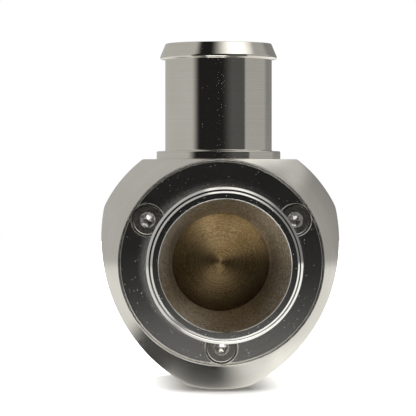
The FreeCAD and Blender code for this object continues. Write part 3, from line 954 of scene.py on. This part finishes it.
def turned_metal(
    name, colours, roughness, anisotropy, ring_mm, ring_depth,
    upright_axis=False, grain=0.0, grain_mm=0.3, mottle=0.0, specks=0.0, speck_mm=0.6, dull=()
):
    """Metal turned about the valve axis, or about the outlet's where upright_axis is set.

    ring_mm and ring_depth are the visible rings' spacing and depth in millimetres. grain is the
    depth of an even grain beside theirs, grain_mm its size, and mottle how much of the colour
    follows it. specks is how much rougher specks of dust are, speck_mm the size of the cells that
    hold one each. dull lists zones as (from r, to r, softness, roughness, colour).
    """
    material, tree, output = start_material(name)
    position = add_node(tree, "ShaderNodeTexCoord").outputs["Object"]
    axis = (0, 0, 1) if upright_axis else (0, 1, 0)
    across = (1, 1, 0) if upright_axis else (1, 0, 1)
    from_axis = add_node(
        tree, "ShaderNodeVectorMath", {0: position, 1: (0, 0, AXIS_HEIGHT)}, operation="SUBTRACT"
    )
    in_mm = add_node(tree, "ShaderNodeVectorMath", {0: from_axis, "Scale": 1 / MM}, operation="SCALE")
    along = add_node(tree, "ShaderNodeVectorMath", {0: in_mm, 1: axis}, operation="DOT_PRODUCT").outputs["Value"]
    flat = add_node(tree, "ShaderNodeVectorMath", {0: in_mm, 1: across}, operation="MULTIPLY")
    radius = add_node(tree, "ShaderNodeVectorMath", {0: flat}, operation="LENGTH").outputs["Value"]
    around = add_node(tree, "ShaderNodeVectorMath", {0: axis, 1: flat}, operation="CROSS_PRODUCT")
    tangent = add_node(tree, "ShaderNodeVectorMath", {0: around}, operation="NORMALIZE")
    place = add_node(tree, "ShaderNodeCombineXYZ", {"X": radius, "Y": along})
    rings = add_node(
        tree, "ShaderNodeTexNoise", {"Vector": place, "Scale": 1 / ring_mm, "Detail": 3.0, "Roughness": 0.65}
    )
    smudges = add_node(tree, "ShaderNodeTexNoise", {"Vector": in_mm, "Scale": 1 / SMUDGE_SIZE, "Detail": 4.0})
    fine = add_node(tree, "ShaderNodeTexNoise", {"Vector": in_mm, "Scale": 1 / grain_mm, "Detail": 2.0})
    stains = add_node(tree, "ShaderNodeMath", {0: smudges, 1: rings}, operation="ADD")
    spotted = add_node(tree, "ShaderNodeMath", {0: fine, 1: mottle, 2: stains}, operation="MULTIPLY_ADD")
    tone = add_node(
        tree, "ShaderNodeMapRange",
        {"Value": spotted, "From Min": 0.75 + mottle / 2, "From Max": 1.25 + mottle / 2},
    )
    base = add_node(
        tree, "ShaderNodeMix", {0: tone, 6: linear(colours[0]), 7: linear(colours[1])}, data_type="RGBA"
    ).outputs[2]
    gloss = add_node(
        tree, "ShaderNodeMapRange",
        {
            "Value": smudges, "From Min": 0.3, "From Max": 0.7,
            "To Min": roughness * 0.85, "To Max": roughness * 1.2,
        },
    )
    for near, far, soft, dullness, shade_of in dull:
        zone = window(tree, radius, near, far, soft)
        gloss = add_node(tree, "ShaderNodeMix", {0: zone, 2: gloss, 3: dullness}, data_type="FLOAT")
        shaded = {0: zone, 6: base, 7: linear(shade_of)}
        base = add_node(tree, "ShaderNodeMix", shaded, data_type="RGBA").outputs[2]
    height = add_node(tree, "ShaderNodeMath", {0: fine, 1: grain, 2: rings}, operation="MULTIPLY_ADD")
    if specks:
        cells = add_node(tree, "ShaderNodeTexVoronoi", {"Vector": in_mm, "Scale": 1 / speck_mm}, feature="F1")
        dust = add_node(
            tree, "ShaderNodeMapRange",
            {
                "Value": cells.outputs["Distance"],
                "From Min": SPECK_REACH, "From Max": SPECK_CORE, "To Max": specks,
            },
        )
        chosen = add_node(
            tree, "ShaderNodeMath", {0: cells.outputs["Color"], 1: 1 - SPECK_SHARE}, operation="GREATER_THAN"
        )
        speck = add_node(tree, "ShaderNodeMath", {0: dust, 1: chosen}, operation="MULTIPLY")
        gloss = add_node(tree, "ShaderNodeMath", {0: gloss, 1: speck}, operation="ADD")
        height = add_node(
            tree, "ShaderNodeMath", {0: speck, 1: SPECK_HEIGHT / ring_depth, 2: height}, operation="MULTIPLY_ADD"
        )
    pointed = add_node(tree, "ShaderNodeNewGeometry").outputs["Pointiness"]
    worn = add_node(
        tree, "ShaderNodeMapRange",
        {
            "Value": pointed, "From Min": EDGE_WEAR_START, "From Max": EDGE_WEAR_END,
            "To Min": 1.0, "To Max": 0.6,
        },
    )
    gloss = add_node(tree, "ShaderNodeMath", {0: gloss, 1: worn}, operation="MULTIPLY")
    bump = add_node(tree, "ShaderNodeBump", {"Height": height, "Distance": ring_depth * MM, "Strength": 1.0})
    shader = add_node(
        tree, "ShaderNodeBsdfPrincipled",
        {"Base Color": base, "Metallic": 1.0, "Roughness": gloss, "Anisotropic": anisotropy,
         "Anisotropic Rotation": 0.25, "Tangent": tangent, "Normal": bump},
    )
    tree.links.new(shader.outputs[0], output.inputs["Surface"])
    return material


# Clear anodised turned aluminium: a silky grey that blurs the room, a little warm in the shade.
anodised_body = turned_metal(
    "clear_anodised_aluminium", ("#f2f0ea", "#e9e6df"), 0.19, 0.5, 0.5, 0.0008, grain=1.0
)
# Polished aluminium: nearly a mirror. The polishing wheel doesn't reach the corner at the
# spigot's foot, which keeps a pale haze.
polished_flange = turned_metal(
    "polished_aluminium_disc", ("#f4f3f1", "#ebeae6"), 0.08, 0.3, 0.4, 0.0002, grain=4.0, specks=0.35,
    dull=[(INLET_CREST_R, INLET_CREST_R + 1.4, 1.6, 0.14, "#efeeec")],
)
# The funnel is only turned, not polished, and like the piston's nose it pulls the light into
# two soft wedges. Its greyish brown is a painted reflection of the brass piston.
turned_bore = turned_metal(
    "turned_aluminium_bore", ("#fffaf0", "#c4b395"), 0.38, 0.9, 0.5, 0.006,
    grain=1.0, grain_mm=0.6, mottle=2.0,
)
# Polished aluminium tube: a mirror that draws the room into upright stripes.
polished_tube = turned_metal(
    "polished_aluminium_tube", ("#f3f0ea", "#eae6de"), 0.08, 0.2, 0.5, 0.0001,
    upright_axis=True, grain=14.0, specks=0.8, speck_mm=0.35,
)
# Hard anodised aluminium of the sleeve: dark grey and slightly matt.
hard_anodised = turned_metal("hard_anodised_aluminium", ("#4b4b4d", "#3c3c3e"), 0.35, 0.3, 0.5, 0.0006)
# Brass faced on a lathe and browned by oil vapour: the grooves pull the light into a bow tie.
# Real feed marks are about 0.1 mm apart; these are three times as coarse, so that they show.
piston_brass = turned_metal(
    "lathe_faced_brass", ("#a38d69", "#6d5938"), 0.34, 0.9, 0.3, 0.008, grain=0.3, mottle=1.2
)
# Machined brass of the nipple: brighter, with short soft highlights.
nipple_brass = turned_metal("machined_brass", ("#e0bf78", "#cba763"), 0.22, 0.4, 0.4, 0.0006)
# Annealed copper: salmon pink and dull from the heat.
copper = turned_metal("annealed_copper", ("#d8987a", "#b87d61"), 0.4, 0.2, 0.5, 0.0006)
print("turned metals made")

# %% [markdown]
# ## Screw steel, spring steel, rubber and low friction plastic
#
# The screws are stainless steel, tumbled rather than turned, so their gloss has no direction.
# Seals are nitrile rubber, nearly black, with the slight bloom of moulded rubber. The guide
# rings are a filled fluoropolymer, waxy and off white.

# %% Other materials


def plain_finish(name, colours, roughness, metallic, ior, grain_mm, grain_depth):
    """A finish without direction: two close colours and a fine grain that also moves the gloss."""
    material, tree, output = start_material(name)
    position = add_node(tree, "ShaderNodeTexCoord").outputs["Object"]
    grain = add_node(
        tree, "ShaderNodeTexNoise", {"Vector": position, "Scale": 1 / (grain_mm * MM), "Detail": 5.0}
    )
    base = add_node(
        tree, "ShaderNodeMix", {0: grain, 6: linear(colours[0]), 7: linear(colours[1])}, data_type="RGBA"
    ).outputs[2]
    gloss = add_node(
        tree, "ShaderNodeMapRange",
        {
            "Value": grain, "From Min": 0.3, "From Max": 0.7,
            "To Min": roughness * 0.8, "To Max": roughness * 1.25,
        },
    )
    bump = add_node(tree, "ShaderNodeBump", {"Height": grain, "Distance": grain_depth * MM, "Strength": 1.0})
    shader = add_node(
        tree, "ShaderNodeBsdfPrincipled",
        {"Base Color": base, "Metallic": metallic, "Roughness": gloss, "IOR": ior, "Normal": bump},
    )
    tree.links.new(shader.outputs[0], output.inputs["Surface"])
    return material


# Stainless steel: a warmer, darker grey than the aluminium around it.
screw_steel = plain_finish("stainless_steel", ("#c4c0ba", "#a19d97"), 0.16, 1.0, 1.5, 0.5, 0.001)
# Pressed stainless steel in the sockets, rougher from the keys and painted white: a painted highlight for the
# light the sockets throw back.
socket_steel_painted_highlight = plain_finish("stainless_socket_painted_highlight", ("#ffffff", "#dedad3"), 0.26, 1.0, 1.5, 0.7, 0.05)
# Oiled spring steel: dark and wet looking.
spring_steel = plain_finish("oiled_spring_steel", ("#7d7b78", "#5f5d5b"), 0.3, 1.0, 1.5, 0.6, 0.003)
# Nitrile rubber: black with a soft grey sheen.
rubber = plain_finish("nitrile_rubber", ("#1b1b1b", "#262626"), 0.6, 0.0, 1.52, 0.8, 0.01)
# Filled fluoropolymer: waxy and off white.
guide_plastic = plain_finish("filled_fluoropolymer", ("#cfcabb", "#b9b3a2"), 0.5, 0.0, 1.38, 0.7, 0.01)
print("other materials made")

# %% [markdown]
# ## Each piece gets its finish
#
# The frame names a material slot for each node. Some pieces carry a second finish inside: the
# funnel and the counterbores of the flange were turned but not polished, and the sockets of the
# screws are rougher from the keys and painted white, a painted highlight. Meshes of their own
# could do that too, but a second finish on the faces near an axis keeps each piece whole.

# %% Assigning materials
finish_of_slot = {
    "body_aluminium": anodised_body,
    "polished_aluminium": polished_flange,
    "turned_aluminium": polished_tube,
    "hard_anodised_aluminium": hard_anodised,
    "piston_brass": piston_brass,
    "nipple_brass": nipple_brass,
    "copper_washer": copper,
    "screw_steel": screw_steel,
    "spring_steel": spring_steel,
    "seal_rubber": rubber,
    "guide_ring_plastic": guide_plastic,
}
for node, slot in slot_of_node.items():
    shown = pieces.get(node, frame["nodes"][node])
    shown.data.materials.clear()
    shown.data.materials.append(finish_of_slot[slot])


def inner_finish(node, finish, centre, radius, ends):
    """A second finish on the faces within a radius of a centre (x, z), between two places along y."""
    mesh = pieces[node].data
    if finish.name not in mesh.materials:
        mesh.materials.append(finish)
    index = mesh.materials.find(finish.name)
    for face in mesh.polygons:
        x, y, z = (face.center - Vector((0, 0, AXIS_HEIGHT))) / MM
        if math.dist((x, z), centre) < radius and ends[0] < y < ends[1]:
            face.material_index = index


inner_finish("inlet_flange", turned_bore, (0, 0), INLET_MOUTH_R, (mouth_y, seat_y))
for side, angle in SCREW_ANGLES.items():
    outward = Vector((math.cos(math.radians(angle)), math.sin(math.radians(angle))))
    front = outward * FLANGE_SCREW_CIRCLE
    rear = outward * CAP_SCREW_CIRCLE
    inner_finish("inlet_flange", turned_bore, front, COUNTERBORE_R + 0.01, (face_y + HEAD_CHAMFER, seat_y))
    # The sockets get the white copy of the steel, a painted highlight.
    inner_finish("flange_screw_" + side, socket_steel_painted_highlight, front, SOCKET_MOUTH_R, (mouth_y, bearing_y))
    cap_head = (cap_bearing, cap_bearing + HEAD_HEIGHT)
    inner_finish("cap_screw_" + side, socket_steel_painted_highlight, rear, SOCKET_MOUTH_R, cap_head)
print("finished", len(slot_of_node), "nodes")

# %% [markdown]
# ## The studio
#
# The valve stands on a pale floor against white. Polished metal shows its surroundings, and
# the photo says what they were. The upright outlet tube is a mirror that unrolls the room:
# light paper on the left, a black gap where the camera stood, a greyer wall on the right.
# The slanted bead above it shows a soft box high on the right. The tapered front of the
# housing shows a pale table below the horizon with something dark on it, low on the left,
# and the steep rings of the inlet bead show the white backdrop. Lamps could stand in for all
# that, but only with many of them. Here the room is a list of panels painted on the world,
# each a range of directions with soft edges, and what the camera sees directly is plain
# white. Azimuth 0 is towards the camera and grows to the right.

# %% Panels of the room
PAPER_TINT = (1.012, 1.0, 0.963)
LEFT_ROOM = 0.46
PANELS = [
    # name, azimuths, elevations, softness of both in degrees, brightness
    ("dark side of the camera", (-53, 70), (-4, 90), (20, 3), 0.014),
    ("faint screen", (17, 70), (-4, 37), (26, 3), 0.085),
    ("grey wall on the right", (57, 400), (-90, 90), (4, 4), 0.38),
    ("farther wall on the right", (120, 400), (-1, 40), (16, 6), 0.23),
    ("paler wall behind on the right", (114, 400), (36, 46), (8, 8), 0.55),
    ("white ceiling behind on the right", (130, 400), (45, 90), (14, 8), 1.05),
    ("white ceiling behind on the left", (-400, -165), (45, 90), (8, 8), 1.05),
    ("table on the right", (57, 400), (-90, -3), (6, 4), 0.76),
    ("table on the left", (-400, -57), (-90, -3), (6, 4), 0.74),
    ("white backdrop low on the right", (126, 162), (-53, -0.6), (6, 1.2), 1.05),
    ("white backdrop lower behind on the right", (160, 400), (-53, -34), (8, 8), 1.05),
    ("white backdrop lower behind on the left", (-400, -165), (-53, -34), (12, 8), 0.95),
    ("dark thing behind on the right", (160, 400), (-90, -54), (35, 6), 0.04),
    ("dark thing behind on the left", (-400, -133), (-90, -54), (6, 6), 0.04),
    ("dark thing on the left", (-148, -100), (-90, -38), (8, 12), 0.04),
    ("table in front", (-57, 57), (-90, -3.7), (4, 5), 0.11),
    ("lit part of the table", (-27, 14), (-31, -10), (8, 6), 3.0),
    ("soft box high on the right", (8, 74), (37, 52), (60, 3), 1.5),
]

world = bpy.data.worlds.new("studio")
bpy.context.scene.world = world
world.use_nodes = True
sky = world.node_tree
sky.nodes.clear()


def paper(brightness):
    """Light off slightly warm white paper."""
    return tuple(brightness * channel for channel in PAPER_TINT) + (1.0,)


look = add_node(sky, "ShaderNodeTexCoord").outputs["Generated"]
parts = add_node(sky, "ShaderNodeSeparateXYZ", {0: look}).outputs
forward = add_node(sky, "ShaderNodeMath", {0: parts["Y"], 1: -1.0}, operation="MULTIPLY")
turn = add_node(sky, "ShaderNodeMath", {0: parts["X"], 1: forward}, operation="ARCTAN2")
tilt = add_node(sky, "ShaderNodeMath", {0: parts["Z"]}, operation="ARCSINE")
azimuth = add_node(sky, "ShaderNodeMath", {0: turn}, operation="DEGREES")
elevation = add_node(sky, "ShaderNodeMath", {0: tilt}, operation="DEGREES")

light = paper(LEFT_ROOM)
for _, azimuths, elevations, softness, brightness in PANELS:
    across = window(sky, azimuth, *azimuths, softness[0])
    up = window(sky, elevation, *elevations, softness[1])
    share = add_node(sky, "ShaderNodeMath", {0: across, 1: up}, operation="MULTIPLY")
    lit = {0: share, 6: light, 7: paper(brightness)}
    light = add_node(sky, "ShaderNodeMix", lit, data_type="RGBA").outputs[2]

seen = add_node(sky, "ShaderNodeLightPath").outputs["Is Camera Ray"]
white_to_camera = {0: seen, 6: light, 7: (1.0, 1.0, 1.0, 1.0)}
light = add_node(sky, "ShaderNodeMix", white_to_camera, data_type="RGBA").outputs[2]
background = add_node(sky, "ShaderNodeBackground", {"Color": light, "Strength": 1.0})
add_node(sky, "ShaderNodeOutputWorld", {"Surface": background})
print("room painted with", len(PANELS), "panels")

# %% [markdown]
# ## Floor and light from above
#
# The floor is white paper, lit so evenly from straight above that it melts into the white
# behind it and keeps only a soft shadow under the valve. Neither the floor nor the lamp shows
# in the metal, because the painted room already holds what the metal should mirror.

# %% Floor and light from above
FLOOR_SIDE = 3.0
LAMP_STRENGTH = 14.0
LAMP_SPREAD = math.radians(110)
floor_mesh = bpy.data.meshes.new("floor")
half = FLOOR_SIDE / 2
corners = [(-half, -half, 0), (half, -half, 0), (half, half, 0), (-half, half, 0)]
floor_mesh.from_pydata(corners, [], [(0, 1, 2, 3)])
floor = bpy.data.objects.new("floor", floor_mesh)
bpy.context.scene.collection.objects.link(floor)
floor.visible_glossy = False
floor.data.materials.append(plain_finish("studio_paper", ("#f4f3f1", "#efeeec"), 0.8, 0.0, 1.5, 3.0, 0.02))

lamp_data = bpy.data.lights.new("light_from_above", "SUN")
lamp_data.energy = LAMP_STRENGTH
lamp_data.angle = LAMP_SPREAD
lamp = bpy.data.objects.new("light_from_above", lamp_data)
lamp.visible_glossy = False
bpy.context.scene.collection.objects.link(lamp)
bpy.context.scene.view_settings.view_transform = "Standard"
print("studio ready")
